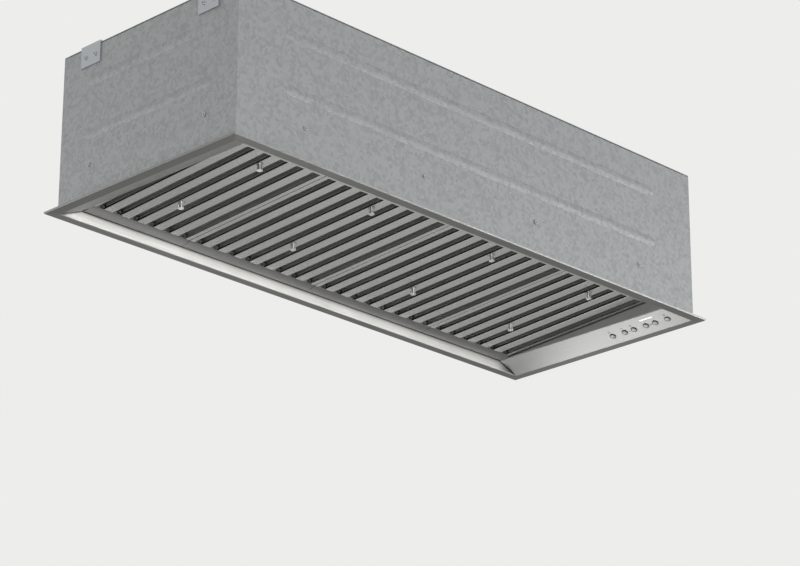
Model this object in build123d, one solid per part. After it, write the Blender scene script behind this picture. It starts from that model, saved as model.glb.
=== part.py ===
from build123d import *
from math import atan2, cos, hypot, radians, sin, tan
import os

# Built-in range hood insert, in millimetres. +X is to the right and +Y is towards the wall for someone
# who faces the hob, and +Z is up. The origin is the middle of the flange's lower face.

# Flange and trim sheets
flange_length = 1180.0
flange_depth = 478.0
flange_width = 19.0
flange_lip = 3.6
trim_sheet = 1.2
trim_bend = 1.6
side_run = 46.5
side_rise = 19.0
front_run = 44.8
front_rise = 40.0
tab_height = 12.0
wall_margin = 7.0

# Baffle filters
inner_bay = 302.0
slot_pitch = 37.5
filter_tilt = 3.25
filter_rear_height = 21.05
filter_depth = 12.0
filter_sheet = 0.8
filter_bend = 1.2
filter_end_gap = 2.4
filter_side_gap = 0.8
filter_top_flange = 8.0
strip_width = 20.0
strip_lip = 3.2
channel_overlap = 4.5
channel_lip_gap = 0.8
front_bar_width = 27.0
gutter_width = 25.4
gutter_drop = 3.6
gutter_rear_drop = 1.8
drain_hole_diameter = 4.0
peg_diameter = 9.6
peg_length = 12.5
peg_rim = 0.5
peg_rim_height = 1.4
peg_shank = 4.0
peg_side_step = 5.2
peg_from_rear = 133.0
peg_from_front = 62.5

# Spring clips that hold the filters up
clip_sheet = 0.5
clip_width = 16.0
clip_foot = 3.0
clip_height = 11.0
clip_inset = 60.0
clip_gap = 0.3

# Casing
casing_sheet = 1.0
casing_height = 290.0
casing_flange = 14.0
casing_foot_gap = 0.8
top_sheet = 1.2
screw_radius = 2.0
screw_head_radius = 3.6
screw_head_height = 2.0
screw_length = 6.0
screw_pitch = 300.0
screw_clearance = 0.1

# Hanging brackets
hanger_sheet = 2.5
hanger_width = 50.0
hanger_reach = 52.0
hanger_leg = 40.0
hanger_hole_radius = 4.5
hanger_hole_inset = 32.0
hanger_from_end = 71.2

# Buttons, from the panel's lower edge and from its face
button_row_from_front = 125.7
button_row_rise = 22.5
button_space = 29.5
button_pair = 22.3
button_radius = 4.25
button_dome = 0.8
button_proud = 1.3
button_travel = 1.2
button_clearance = 0.1
button_flange = 1.5
button_flange_thickness = 1.0
button_stem_radius = 1.6
button_stem_length = 6.1
collar_wall = 1.25
collar_proud = 1.2
collar_depth = 2.0
housing_margin = 12.0
housing_width = 18.0
housing_depth = 8.0
post_radius = 2.5
post_length = 4.0
board_thickness = 1.6
board_width = 20.0
switch_size = 7.0
switch_height = 3.6

# Indicator window
window_length = 30.0
window_width = 3.0
window_from_row = 26.2
window_rise = 38.5
window_clearance = 0.15
window_border = 2.5
window_back = 1.2

# Control unit and lamp driver
unit_length = 160.0
unit_width = 38.0
unit_height = 28.0
unit_wall = 2.0
unit_from_rear = 121.2
unit_gap_below_shelf = 3.0
driver_length = 130.0
driver_width = 34.0
driver_height = 24.0
driver_from_front = 161.2

# Lamp strip in the front trim
lamp_inset = 24.5
lamp_width = 18.0
lamp_clearance = 0.2
lamp_border = 2.2
lens_back = 1.2
lamp_housing_wall = 1.5
lamp_housing_gap = 1.5
lamp_housing_depth = 12.8
lamp_end = 5.0
led_board_width = 12.0
led_board_thickness = 1.6
led_size = 5.0
led_height = 1.2
led_pitch = 40.0

# Blower
impeller_radius = 84.0
impeller_half_width = 80.0
blade_count = 40
blade_depth = 16.0
blade_sheet = 1.2
impeller_plate = 3.0
impeller_ring = 3.0
hub_radius = 14.0
hub_length = 18.0
shaft_radius = 4.0
shaft_into_motor = 40.0
shaft_clearance = 0.05
scroll_sheet = 1.2
scroll_side_gap = 8.0
scroll_cut_off_ratio = 1.08
scroll_growth_ratio = 0.42
scroll_start = 60.0
scroll_top_gap = 6.0
inlet_clearance = 3.0
inlet_ring_depth = 6.0
outlet_flange = 22.0
motor_radius = 46.0
motor_length = 90.0
motor_gap = 6.0
motor_edge = 4.0
bracket_sheet = 2.5
bracket_arm = 14.0
bracket_foot = 10.0

# Duct collar and damper
duct_radius = 99.5
duct_sheet = 0.8
duct_height = 45.0
collar_base = 236.0
collar_base_sheet = 1.2
damper_height = 15.0
damper_sheet = 0.8
damper_edge_gap = 1.2
damper_stop = 4.0
damper_stop_sheet = 1.2
damper_stop_gap = 0.3
pin_radius = 2.4
pin_clearance = 0.05
knuckle_wall = 1.15
knuckle_gap = 0.4
knuckle_middle = 26.0
knuckle_step = 4.0
knuckle_outer = 70.0

# Supply
terminal_length = 110.0
terminal_width = 90.0
terminal_height = 46.0
terminal_wall = 1.2
terminal_from_side = 102.2
terminal_from_rear = 71.2
gland_bore = 5.5
gland_radius = 9.8
gland_head_radius = 13.0
gland_head_height = 20.0
gland_nut_height = 5.0
gland_clearance = 0.2
lead_radius = 2.5
lead_bend = 8.0
lead_clearance = 0.5
lead_inset = 18.0
lead_beside_scroll = 80.0

# Worked out from the sizes above
half_length = flange_length / 2
half_depth = flange_depth / 2
recess_x = half_length - flange_width
recess_y = half_depth - flange_width
opening_x = recess_x - side_run
front_wall_y = front_run - recess_y
rear_wall_y = recess_y
filter_rear_y = rear_wall_y - filter_end_gap
filter_run = filter_rear_y - (front_wall_y + filter_end_gap)
filter_length = filter_run / cos(radians(filter_tilt))
filter_front_height = filter_rear_height + filter_run * tan(radians(filter_tilt))
wall_top = filter_front_height + filter_depth + wall_margin
casing_x = recess_x + trim_sheet
casing_y = recess_y + trim_sheet
top_of_casing = casing_height + top_sheet
side_angle = atan2(side_rise, side_run)
front_angle = atan2(front_rise, front_run)
scroll_half_width = impeller_half_width + scroll_side_gap
motor_end = motor_gap + motor_length
axis_from_top = impeller_radius * (scroll_cut_off_ratio + scroll_growth_ratio * (90 - scroll_start) / 300)
blower_z = casing_height - axis_from_top - scroll_sheet - scroll_top_gap
outlet_near = impeller_radius * scroll_cut_off_ratio * cos(radians(scroll_start))
outlet_far = impeller_radius * (scroll_cut_off_ratio + scroll_growth_ratio)
blower_y = -(outlet_near + outlet_far) / 2
damper_z = top_of_casing + collar_base_sheet + damper_height
unit_top = wall_top - trim_sheet - unit_gap_below_shelf
lead_x = casing_x - lead_inset
lamp_length = 2 * (opening_x - lamp_inset)
button_row_y = button_row_from_front - half_depth
window_y = button_row_y - window_from_row
hanger_y = casing_y - hanger_from_end
unit_y = casing_y - unit_from_rear
driver_y = driver_from_front - casing_y
terminal_x = casing_x - terminal_from_side
terminal_y = casing_y - terminal_from_rear

# Planes whose local X runs inwards from the negative side, with local Y up
front_plane = Plane.YZ
rear_plane = Plane((0, 0, 0), x_dir=(0, -1, 0), z_dir=(-1, 0, 0))
left_plane = Plane.XZ
right_plane = Plane((0, 0, 0), x_dir=(-1, 0, 0), z_dir=(0, 1, 0))

# The control panel: local X along the row's Y, local Y up the slope, local Z into the casing
panel = Plane((recess_x, 0, 0), x_dir=(0, 1, 0), z_dir=(sin(side_angle), 0, cos(side_angle)))
# The lamp's slope: local X along the row's X, local Y up the slope, local Z into the casing
lamp_plane = Plane((0, -recess_y, 0), x_dir=(1, 0, 0), z_dir=(0, -sin(front_angle), cos(front_angle)))


def save(node, shape):
    """Write one piece, or one group of like pieces, under its own name."""
    solids = shape.solids()
    export_step(solids[0] if len(solids) == 1 else Compound(solids), f"parts/{node}.step")


def block(x, y, z):
    """A box from three (low, high) pairs."""
    size = [high - low for low, high in (x, y, z)]
    middle = [(high + low) / 2 for low, high in (x, y, z)]
    return Pos(*middle) * Box(*size)


def folded(points, thickness, bend):
    """A face across a sheet bent along the points, with its thickness on the left of the path."""
    path = FilletPolyline(*points, radius=bend)
    return make_face(offset(path, amount=thickness, side=Side.LEFT, closed=True).edges())


def rod(radius, low, high):
    """A round bar about Z between two heights."""
    return Pos(0, 0, (low + high) / 2) * Cylinder(radius, high - low)


def turned(points):
    """A solid of revolution about Z from (radius, height) points."""
    face = Plane.XZ * make_face(Polyline(*points, close=True))
    return revolve(face, axis=Axis.Z)


def upright(outline, low, high):
    """A prism that stands on a plan outline."""
    return extrude(Pos(0, 0, low) * make_face(Polyline(*outline, close=True)), high - low, dir=(0, 0, 1))


def screw(place):
    """A pan-head screw whose head sits on the place's plane."""
    return place * (rod(screw_head_radius, 0, screw_head_height) + rod(screw_radius, -screw_length, 0))


def screw_hole(place):
    """The clearance hole that a screw at the same place needs."""
    return place * Cylinder(screw_radius + screw_clearance, 3 * screw_length)


def row(span, pitch):
    """Evenly spaced places over a span, no further apart than about the pitch."""
    steps = max(1, round(span / pitch))
    return [span * (i / steps - 0.5) for i in range(steps + 1)]


# Trim


def trim_path(half, run, rise):
    """The visible side of a trim sheet, from its lip to the tab that is screwed to the casing."""
    recess = flange_width - half
    path = [(-half, flange_lip), (-half, 0), (recess, 0)]
    if run:
        path += [(recess + run, rise), (recess + run, wall_top), (recess, wall_top)]
    return path + [(recess, wall_top + tab_height)]


def trim(plane, half, run, rise, outline):
    """A folded trim sheet, cut to its mitred plan outline."""
    face = folded(trim_path(half, run, rise), trim_sheet, trim_bend)
    sheet = extrude(plane * face, half_length, both=True)
    return sheet & upright(outline, -1, wall_top + tab_height + 1)


# The mitre runs from the recess's corner to where the side wall turns upright
mitre_y = -recess_y + side_rise * front_run / front_rise
front_outline = [
    (-half_length, -half_depth), (half_length, -half_depth), (recess_x, -recess_y), (opening_x, mitre_y),
    (opening_x, 0), (-opening_x, 0), (-opening_x, mitre_y), (-recess_x, -recess_y),
]
rear_outline = [
    (-half_length, half_depth), (half_length, half_depth), (recess_x, recess_y), (-recess_x, recess_y),
]
right_outline = [
    (half_length, -half_depth), (half_length, half_depth), (recess_x, recess_y), (opening_x, recess_y),
    (opening_x, mitre_y), (recess_x, -recess_y),
]
left_outline = [(-x, y) for x, y in right_outline]

button_half_row = button_space * 1.5 + button_pair
button_steps = [button_half_row, button_space / 2 + button_pair, button_space / 2]
button_places = [button_row_y + s for s in button_steps + [-s for s in reversed(button_steps)]]
collar_radius = button_radius + button_clearance + collar_wall

screw_z = wall_top + tab_height / 2
long_row = row(2 * recess_x - screw_pitch, screw_pitch)
short_row = row(2 * recess_y - screw_pitch / 2, screw_pitch)
outer_x = casing_x + casing_sheet
outer_y = casing_y + casing_sheet
front_screws = [Plane((x, -outer_y, screw_z), z_dir=(0, -1, 0)).location for x in long_row]
rear_screws = [Plane((x, outer_y, screw_z), z_dir=(0, 1, 0)).location for x in long_row]
left_screws = [Plane((-outer_x, y, screw_z), z_dir=(-1, 0, 0)).location for y in short_row]
right_screws = [Plane((outer_x, y, screw_z), z_dir=(1, 0, 0)).location for y in short_row]
top_screws = [
    Plane((x, side * (casing_y - casing_flange / 2), top_of_casing)).location
    for x in long_row for side in (-1, 1)
]


def cut_screws(shape, places):
    """The shape with clearance holes for screws at the places."""
    for place in places:
        shape -= screw_hole(place)
    return shape


def make_trim():
    """Front, rear, left and right trims, with the lamp's, buttons' and window's openings."""
    lamp_rise = hypot(front_run, front_rise) / 2
    front = trim(front_plane, half_depth, front_run, front_rise, front_outline)
    front -= lamp_plane.location * Pos(0, lamp_rise, 0) * Box(lamp_length, lamp_width, 4 * trim_sheet)
    save("front_trim", cut_screws(front, front_screws))
    rear = trim(rear_plane, half_depth, 0, 0, rear_outline)
    save("rear_trim", cut_screws(rear, rear_screws))
    left = trim(left_plane, half_length, side_run, side_rise, left_outline)
    left -= Pos(-lead_x, driver_y, 0) * rod(lead_radius + lead_clearance, wall_top / 2, 2 * wall_top)
    save("left_trim", cut_screws(left, left_screws))
    fascia = trim(right_plane, half_length, side_run, side_rise, right_outline)
    for y in button_places:
        hole = Cylinder(collar_radius + button_clearance, 4 * trim_sheet)
        fascia -= panel.location * Pos(y, button_row_rise, 0) * hole
    window = Box(window_length, window_width, 4 * trim_sheet)
    fascia -= panel.location * Pos(window_y, window_rise, 0) * window
    fascia -= Pos(lead_x, terminal_y, 0) * rod(lead_radius + lead_clearance, wall_top / 2, 2 * wall_top)
    save("control_fascia", cut_screws(fascia, right_screws))


# Filters


def lower_strip(x, length):
    """An outer baffle: a flat strip with turned-up edges."""
    half = strip_width / 2
    path = [(x - half, strip_lip), (x - half, 0), (x + half, 0), (x + half, strip_lip)]
    return extrude(Plane.XZ * folded(path, filter_sheet, filter_bend), length, dir=(0, -1, 0))


def upper_channel(x, width, length):
    """An inner baffle: a channel that opens downwards over a slot."""
    half, top, foot = width / 2, filter_depth - filter_sheet, strip_lip + channel_lip_gap
    path = [(x + half, foot), (x + half, top), (x - half, top), (x - half, foot)]
    return extrude(Plane.XZ * folded(path, filter_sheet, filter_bend), length, dir=(0, -1, 0))


def filter_frame(width, rail):
    """Side rails and front bar, folded from one sheet into a channel that opens inwards."""
    half, low, high = width / 2, -filter_length, -gutter_width
    frame = block((-half, half), (low, high), (0, filter_depth))
    edges = frame.edges().filter_by(Axis.Y).group_by(Axis.Z)[0]
    edges += frame.edges().filter_by(Axis.X).group_by(Axis.Z)[0].sort_by(Axis.Y)[:1]
    frame = fillet(edges, filter_bend)
    inside = half - filter_sheet
    deep = (filter_sheet, filter_depth - filter_sheet)
    frame -= block((-inside, inside), (low + filter_sheet, high + 1), deep)
    slots = half - rail
    frame -= block((-slots, slots), (low + front_bar_width, high + 1), (-1, filter_depth / 2))
    top = half - filter_top_flange
    frame -= block((-top, top), (low + filter_top_flange, high + 1), (filter_depth / 2, filter_depth + 1))
    return frame


def gutter(width, slots):
    """A trough with a rounded bottom across the filter's rear edge, drained through its front wall."""
    rear, front = 0, -gutter_width
    bottom = (front * 0.42, -gutter_drop)
    outline = Curve() + [
        Line((front, filter_depth), (front, 0)),
        ThreePointArc((front, 0), bottom, (rear, -gutter_rear_drop)),
        Line((rear, -gutter_rear_drop), (rear, filter_depth)),
        Line((rear, filter_depth), (front, filter_depth)),
    ]
    face = make_face(outline.edges())
    trough = extrude(Plane.YZ * face, width / 2, both=True)
    edge = trough.edges().filter_by(Axis.X).sort_by(lambda e: e.center().Z - e.center().Y)[0]
    trough = fillet(edge, filter_bend)
    inner = extrude(Plane.YZ * offset(face, -filter_sheet), width / 2 - filter_sheet, both=True)
    sides = width / 2 - filter_sheet
    above = (filter_depth / 2, filter_depth + 1)
    mouth = block((-sides, sides), (front + filter_sheet, -filter_sheet), above)
    trough = trough - inner - mouth
    drain = drain_hole_diameter / 2
    for x in slots:
        hole = Rot(X=90) * Cylinder(drain, 4 * filter_sheet)
        trough -= Pos(x + drain, front, drain + filter_sheet) * hole
    return trough


def peg():
    """A turned peg with a raised rim, its shank riveted over inside the strip."""
    body, rim = peg_diameter / 2, peg_diameter / 2 + peg_rim
    tip, shank = -peg_length, peg_shank / 2
    rivet_low, rivet_high = filter_sheet, filter_sheet + 1.4
    return turned([
        (0, tip + 0.5), (rim - 1.8, tip + 0.5), (rim - 1.4, tip), (rim - 0.4, tip), (rim, tip + 0.4),
        (rim, tip + peg_rim_height), (body, tip + peg_rim_height + peg_rim), (body, 0), (shank, 0),
        (shank, rivet_low), (shank + 1.4, rivet_low), (shank + 1.2, rivet_high), (0, rivet_high),
    ])


def make_filter(number, middle, bay):
    """One filter in its bay, built flat and then tilted into place."""
    place = Pos(middle, filter_rear_y, filter_rear_height) * Rot(X=-filter_tilt)
    width = bay - filter_side_gap
    rail = (strip_width - filter_side_gap) / 2
    count = max(2, round(bay / slot_pitch))
    pitch = bay / count
    slots = [pitch * (i + 0.5) - bay / 2 for i in range(count)]
    strips = [pitch * i - bay / 2 for i in range(1, count)]
    strip_run = filter_length - gutter_width - front_bar_width
    channel_run = filter_length - gutter_width - filter_sheet
    channel_width = pitch - strip_width + 2 * channel_overlap
    start = Pos(0, -gutter_width, 0)
    pegged = strips[(len(strips) - 1) // 2]
    peg_x = pegged - peg_side_step
    peg_places = [Pos(peg_x, -peg_from_rear, 0), Pos(peg_x, peg_from_front - filter_length, 0)]
    lower = [start * lower_strip(x, strip_run) for x in strips]
    for at in peg_places:
        hole = at * Cylinder(peg_shank / 2 + screw_clearance, 4 * filter_sheet)
        lower = [strip - hole if x == pegged else strip for x, strip in zip(strips, lower)]
    upper = [start * upper_channel(x, channel_width, channel_run) for x in slots]
    name = f"filter_{number}"
    save(f"{name}_frame", place * filter_frame(width, rail))
    save(f"{name}_gutter", place * gutter(width, slots))
    save(f"{name}_outer_baffles", place * Compound([s.solid() for s in lower]))
    save(f"{name}_inner_baffles", place * Compound([s.solid() for s in upper]))
    save(f"{name}_pegs", place * Compound([(at * peg()).solid() for at in peg_places]))


outer_bay = opening_x - inner_bay
bays = [(-inner_bay - outer_bay / 2, outer_bay), (-inner_bay / 2, inner_bay)]
bays += [(-middle, bay) for middle, bay in reversed(bays)]


def clip(reach):
    """A bowed leaf spring on a wall at X = 0, reaching out along -X."""
    rise = (clip_height - 2 * clip_foot) * 0.4
    bow = clip_sheet - reach
    lower = [(0, 0), (0, clip_foot), (bow, clip_foot + rise)]
    path = lower + [(x, clip_height - z) for x, z in reversed(lower)]
    back = [(x - clip_sheet, z) for x, z in reversed(path)]
    return make_face(Polyline(*path, *back, close=True))


def make_clips():
    """Two spring clips behind each end of every filter."""
    tilt = radians(filter_tilt)
    lean = filter_depth * sin(tilt)
    rear_reach = filter_end_gap - lean - clip_gap
    front_reach = filter_end_gap - clip_gap
    rear_low = filter_rear_height + (filter_depth - clip_height) / 2
    front_low = filter_front_height + (filter_depth - clip_height) / 2
    rear = extrude(front_plane * clip(rear_reach), clip_width / 2, both=True)
    front = extrude(rear_plane * clip(front_reach), clip_width / 2, both=True)
    clips = []
    for middle, bay in bays:
        for side in (-1, 1):
            x = middle + side * (bay / 2 - clip_inset)
            clips += [Pos(x, rear_wall_y, rear_low) * rear, Pos(x, front_wall_y, front_low) * front]
    save("filter_clips", Compound([c.solid() for c in clips]))


# Casing


def casing_wall(plane, inside, half_run):
    """A casing wall just clear of the trim's flange, turned in at the top under the top panel."""
    top = casing_height - casing_sheet
    path = [(-inside, trim_sheet + casing_foot_gap), (-inside, top), (casing_flange - inside, top)]
    return extrude(plane * folded(path, casing_sheet, trim_bend), half_run, both=True)


hanger_places = [(sx, sy) for sx in (-1, 1) for sy in (-1, 1)]
hanger_face = outer_x + hanger_sheet
hanger_hole_x = hanger_face - hanger_hole_inset
hanger_screw_z = top_of_casing - hanger_leg / 2
hanger_screws = [
    Plane((sx * hanger_face, sy * hanger_y + step, hanger_screw_z), z_dir=(sx, 0, 0)).location
    for sx, sy in hanger_places for step in (-hanger_width / 4, hanger_width / 4)
]


def hanger(sx, sy):
    """An angle bracket over a casing's top edge, with a hole for a hanging rod."""
    top = top_of_casing + hanger_sheet
    across = (-hanger_width / 2, hanger_width / 2)
    plate = block((hanger_face - hanger_reach, hanger_face), across, (top_of_casing, top))
    leg = block((outer_x, hanger_face), across, (top - hanger_leg, top))
    angle = plate + leg - Pos(hanger_hole_x, 0, top) * Cylinder(hanger_hole_radius, 4 * hanger_sheet)
    if sx < 0:
        angle = mirror(angle, about=Plane.YZ)
    return Pos(0, sy * hanger_y, 0) * angle


def make_casing():
    """Four walls, the top panel, its screws and the hanging brackets."""
    left = casing_wall(left_plane, casing_x, casing_y)
    right = casing_wall(right_plane, casing_x, casing_y)
    front = casing_wall(front_plane, casing_y, outer_x) - left - right
    rear = casing_wall(rear_plane, casing_y, outer_x) - left - right
    save("casing_front", cut_screws(front, front_screws + top_screws))
    save("casing_rear", cut_screws(rear, rear_screws + top_screws))
    save("casing_left", cut_screws(left, left_screws + hanger_screws))
    save("casing_right", cut_screws(right, right_screws + hanger_screws))
    top = block((-outer_x, outer_x), (-outer_y, outer_y), (casing_height, top_of_casing))
    outlet = (outlet_near + blower_y, outlet_far + blower_y)
    top -= block((-scroll_half_width, scroll_half_width), outlet, (0, 2 * casing_height))
    top -= Pos(terminal_x, terminal_y, 0) * rod(gland_radius + gland_clearance, 0, 2 * casing_height)
    for sx, sy in hanger_places:
        top -= Pos(sx * hanger_hole_x, sy * hanger_y, 0) * rod(hanger_hole_radius, 0, 2 * casing_height)
    save("casing_top", cut_screws(top, top_screws + blower_screws))
    brackets = [hanger(sx, sy) for sx, sy in hanger_places]
    brackets = [cut_screws(b, hanger_screws) for b in brackets]
    save("hanging_brackets", Compound([b.solid() for b in brackets]))
    places = front_screws + rear_screws + left_screws + right_screws + top_screws + hanger_screws
    save("casing_screws", Compound([screw(p).solid() for p in places]))


# Controls

face_to_board = trim_sheet + housing_depth + post_length


def on_panel(y, rise, shape):
    """A shape built on the panel's local axes, moved to a place on its face."""
    return panel.location * Pos(y, rise, 0) * shape


def button():
    """A domed cap, a flange that keeps it in, and the stem that works the switch."""
    cap, flange = button_radius, button_radius + button_flange
    flange_low = collar_depth + trim_sheet + button_clearance
    flange_high = flange_low + button_flange_thickness
    tip, rim, end = -button_proud - button_dome, -button_proud, flange_high + button_stem_length
    dome = ThreePointArc((0, tip), (cap * 0.6, tip + button_dome * 0.36), (cap, rim))
    rest = Polyline(
        (cap, rim), (cap, flange_low), (flange, flange_low), (flange, flange_high),
        (button_stem_radius, flange_high), (button_stem_radius, end), (0, end), (0, tip),
    )
    return revolve(Plane.XZ * make_face(dome.edges() + rest.edges()), axis=Axis.Z)


def make_controls():
    """Buttons, the block that guides them, the switch board, the window, and the control unit."""
    for number, y in enumerate(button_places, 1):
        save(f"button_{number}", on_panel(y, button_row_rise, button()))
    half = button_half_row + housing_margin
    wide = housing_width / 2
    pocket_floor = collar_depth + trim_sheet
    housing = block((-half, half), (-wide, wide), (trim_sheet, trim_sheet + housing_depth))
    board_back = face_to_board + board_thickness
    board = block((-half, half), (-board_width / 2, board_width / 2), (face_to_board, board_back))
    bore = button_radius + button_clearance
    pocket = button_radius + button_flange + 3 * button_clearance
    deep = trim_sheet + housing_depth
    for y in button_places:
        at = Pos(y - button_row_y, 0, 0)
        housing += at * rod(collar_radius, -collar_proud, trim_sheet + 1)
        housing -= at * rod(bore, -deep, 2 * deep)
        housing -= at * rod(pocket, pocket_floor, 2 * deep)
        body = switch_size / 2
        board += at * block((-body, body), (-body, body), (face_to_board - switch_height, face_to_board))
        stem = button_stem_radius + button_clearance
        board -= at * rod(stem, face_to_board - switch_height, face_to_board)
    for side in (-1, 1):
        housing += Pos(side * (half - post_radius - 1), 0, 0) * rod(post_radius, deep, face_to_board)
    save("button_housing", on_panel(button_row_y, button_row_rise, housing))
    save("control_board", on_panel(button_row_y, button_row_rise, board))
    plug_length, plug_width = window_length - 2 * window_clearance, window_width - 2 * window_clearance
    lens = Pos(0, 0, trim_sheet / 2) * Box(plug_length, plug_width, trim_sheet)
    back_length, back_width = window_length + 2 * window_border, window_width + 2 * window_border
    lens += Pos(0, 0, trim_sheet + window_back / 2) * Box(back_length, back_width, window_back)
    save("indicator_lens", on_panel(window_y, window_rise, lens))
    near, half, low = casing_x - unit_width, unit_length / 2, unit_top - unit_height
    wall = unit_wall
    unit = block((near, casing_x), (-half, half), (low, unit_top))
    hollow = block((near + wall, casing_x - wall), (wall - half, half - wall), (low - 1, unit_top - wall))
    lid = block((near, casing_x), (-half, half), (low - wall, low))
    save("control_unit", Pos(0, unit_y, 0) * Compound([(unit - hollow).solid(), lid.solid()]))


# Lamp


def on_lamp(shape):
    """A shape built on the lamp slope's local axes, moved to the slope's middle."""
    return lamp_plane.location * Pos(0, hypot(front_run, front_rise) / 2, 0) * shape


def make_lamp():
    """Lens, LED board and heat-sink housing in the front trim, and the driver behind the left trim."""
    plug = Box(lamp_length - 2 * lamp_clearance, lamp_width - 2 * lamp_clearance, trim_sheet)
    lens = Pos(0, 0, trim_sheet / 2) * plug
    back_width = lamp_width + 2 * lamp_border
    back_length = lamp_length + 2 * lamp_border
    lens += Pos(0, 0, trim_sheet + lens_back / 2) * Box(back_length, back_width, lens_back)
    save("lamp_lens", on_lamp(lens))
    half_width = back_width / 2 + lamp_housing_gap
    half_run = lamp_length / 2 + lamp_end
    base = trim_sheet + lamp_housing_depth
    wall = lamp_housing_wall
    outer_run, outer_width = half_run + wall, half_width + wall
    housing = block((-outer_run, outer_run), (-outer_width, outer_width), (trim_sheet, base))
    housing -= block((-half_run, half_run), (-half_width, half_width), (0, base - wall))
    save("lamp_housing", on_lamp(housing))
    board_low = base - wall - led_board_thickness
    along, across = (-lamp_length / 2, lamp_length / 2), (-led_board_width / 2, led_board_width / 2)
    board = block(along, across, (board_low, base - wall))
    for x in row(lamp_length - led_pitch, led_pitch):
        board += Pos(x, 0, board_low - led_height / 2) * Box(led_size, led_size, led_height)
    save("lamp_board", on_lamp(board))
    along = (-driver_length / 2, driver_length / 2)
    driver = block((-casing_x, driver_width - casing_x), along, (unit_top - driver_height, unit_top))
    edges = driver.edges().filter_by(Axis.Y).sort_by(Axis.X)[-2:]
    save("lamp_driver", Pos(0, driver_y, 0) * chamfer(edges, 2))


# Blower, built about its own axis along X and then moved to its place


def scroll_radius(angle, extra):
    """The scroll's radius, which grows steadily from the cut-off round to the outlet."""
    turn = (angle - scroll_start) / (360 - scroll_start)
    return impeller_radius * (scroll_cut_off_ratio + scroll_growth_ratio * turn) + extra


def scroll_curve(extra):
    """The scroll's curve in the YZ plane, as a smooth line through points on the growing radius."""
    steps = 12
    points = []
    for i in range(steps + 1):
        angle = scroll_start + (360 - scroll_start) * i / steps
        radius = scroll_radius(angle, extra)
        points.append((radius * cos(radians(angle)), radius * sin(radians(angle))))
    return points


def scroll_wrap():
    """The curved wall between the side plates, the straight outlet walls and the outlet flange."""
    inner, outer = scroll_curve(0), scroll_curve(scroll_sheet)
    top = casing_height - blower_z
    curves = Spline(*inner).edges() + Spline(*outer).edges()
    ends = Line(inner[-1], outer[-1]).edges() + Line(outer[0], inner[0]).edges()
    wrap = extrude(Plane.YZ * make_face(curves + ends), scroll_half_width, both=True)
    half = scroll_half_width
    wrap += block((-half, half), (outlet_far, outlet_far + scroll_sheet), (0, top))
    cut_z = impeller_radius * scroll_cut_off_ratio * sin(radians(scroll_start))
    wrap += block((-half, half), (outlet_near - scroll_sheet, outlet_near), (cut_z, top))
    rim = outlet_flange
    flange = block(
        (-half - rim, half + rim), (outlet_near - rim, outlet_far + rim), (top - scroll_sheet, top)
    )
    wrap += flange - block((-half, half), (outlet_near, outlet_far), (0, 2 * top))
    return wrap


def scroll_side(side):
    """A side plate cut to the scroll's outline, with a turned-in inlet ring."""
    outer = scroll_curve(scroll_sheet)
    top = casing_height - blower_z - scroll_sheet
    corner_far = (outlet_far + scroll_sheet, top)
    corner_near = (outlet_near - scroll_sheet, top)
    sides = Polyline(outer[-1], corner_far, corner_near, outer[0])
    face = make_face(Spline(*outer).edges() + sides.edges())
    plate = extrude(Plane.YZ * face, scroll_sheet, dir=(1, 0, 0))
    bore = impeller_radius - blade_depth + inlet_clearance
    plate -= Rot(Y=90) * Cylinder(bore, 8 * scroll_sheet)
    ring = Cylinder(bore + scroll_sheet, inlet_ring_depth) - Cylinder(bore, inlet_ring_depth)
    plate += Rot(Y=90) * Pos(0, 0, -inlet_ring_depth / 2) * ring
    plate = Pos(scroll_half_width, 0, 0) * plate
    return plate if side > 0 else mirror(plate, about=Plane.YZ)


def impeller():
    """A double-width squirrel-cage wheel: a middle plate, end rings, a hub and forward-curved blades."""
    outer, inner = impeller_radius, impeller_radius - blade_depth
    along = Rot(Y=90)
    wheel = along * Cylinder(outer, impeller_plate)
    ring = Cylinder(outer, impeller_ring) - Cylinder(outer - blade_depth / 2, impeller_ring)
    for side in (-1, 1):
        wheel += along * Pos(0, 0, side * (impeller_half_width - impeller_ring / 2)) * ring
    wheel += along * Pos(0, 0, -hub_length / 2) * Cylinder(hub_radius, hub_length)
    middle = ((outer + inner) / 2 * cos(0.10), (outer + inner) / 2 * sin(0.10))
    tip = (outer * cos(0.02) - 0.4, outer * sin(0.02))
    arc = ThreePointArc((inner, 0), middle, tip)
    blade_face = make_face(offset(arc, amount=blade_sheet, side=Side.LEFT, closed=True).edges())
    blade = extrude(Plane.YZ * blade_face, impeller_half_width - impeller_ring / 2, both=True)
    blades = [Rot(X=360 * i / blade_count) * blade for i in range(blade_count)]
    wheel = wheel + blades
    return wheel - along * Cylinder(shaft_radius, 4 * hub_length)


def at_blower(shape):
    """A shape built about the blower's axis, moved to the axis."""
    return Pos(0, blower_y, blower_z) * shape


blower_screw_x = scroll_half_width + outlet_flange / 2
blower_screw_y = (outlet_far - outlet_near) / 2
blower_screws = [
    Plane((sx * blower_screw_x, sy * blower_screw_y, top_of_casing + collar_base_sheet)).location
    for sx in (-1, 1) for sy in (-1, 1)
]


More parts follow.
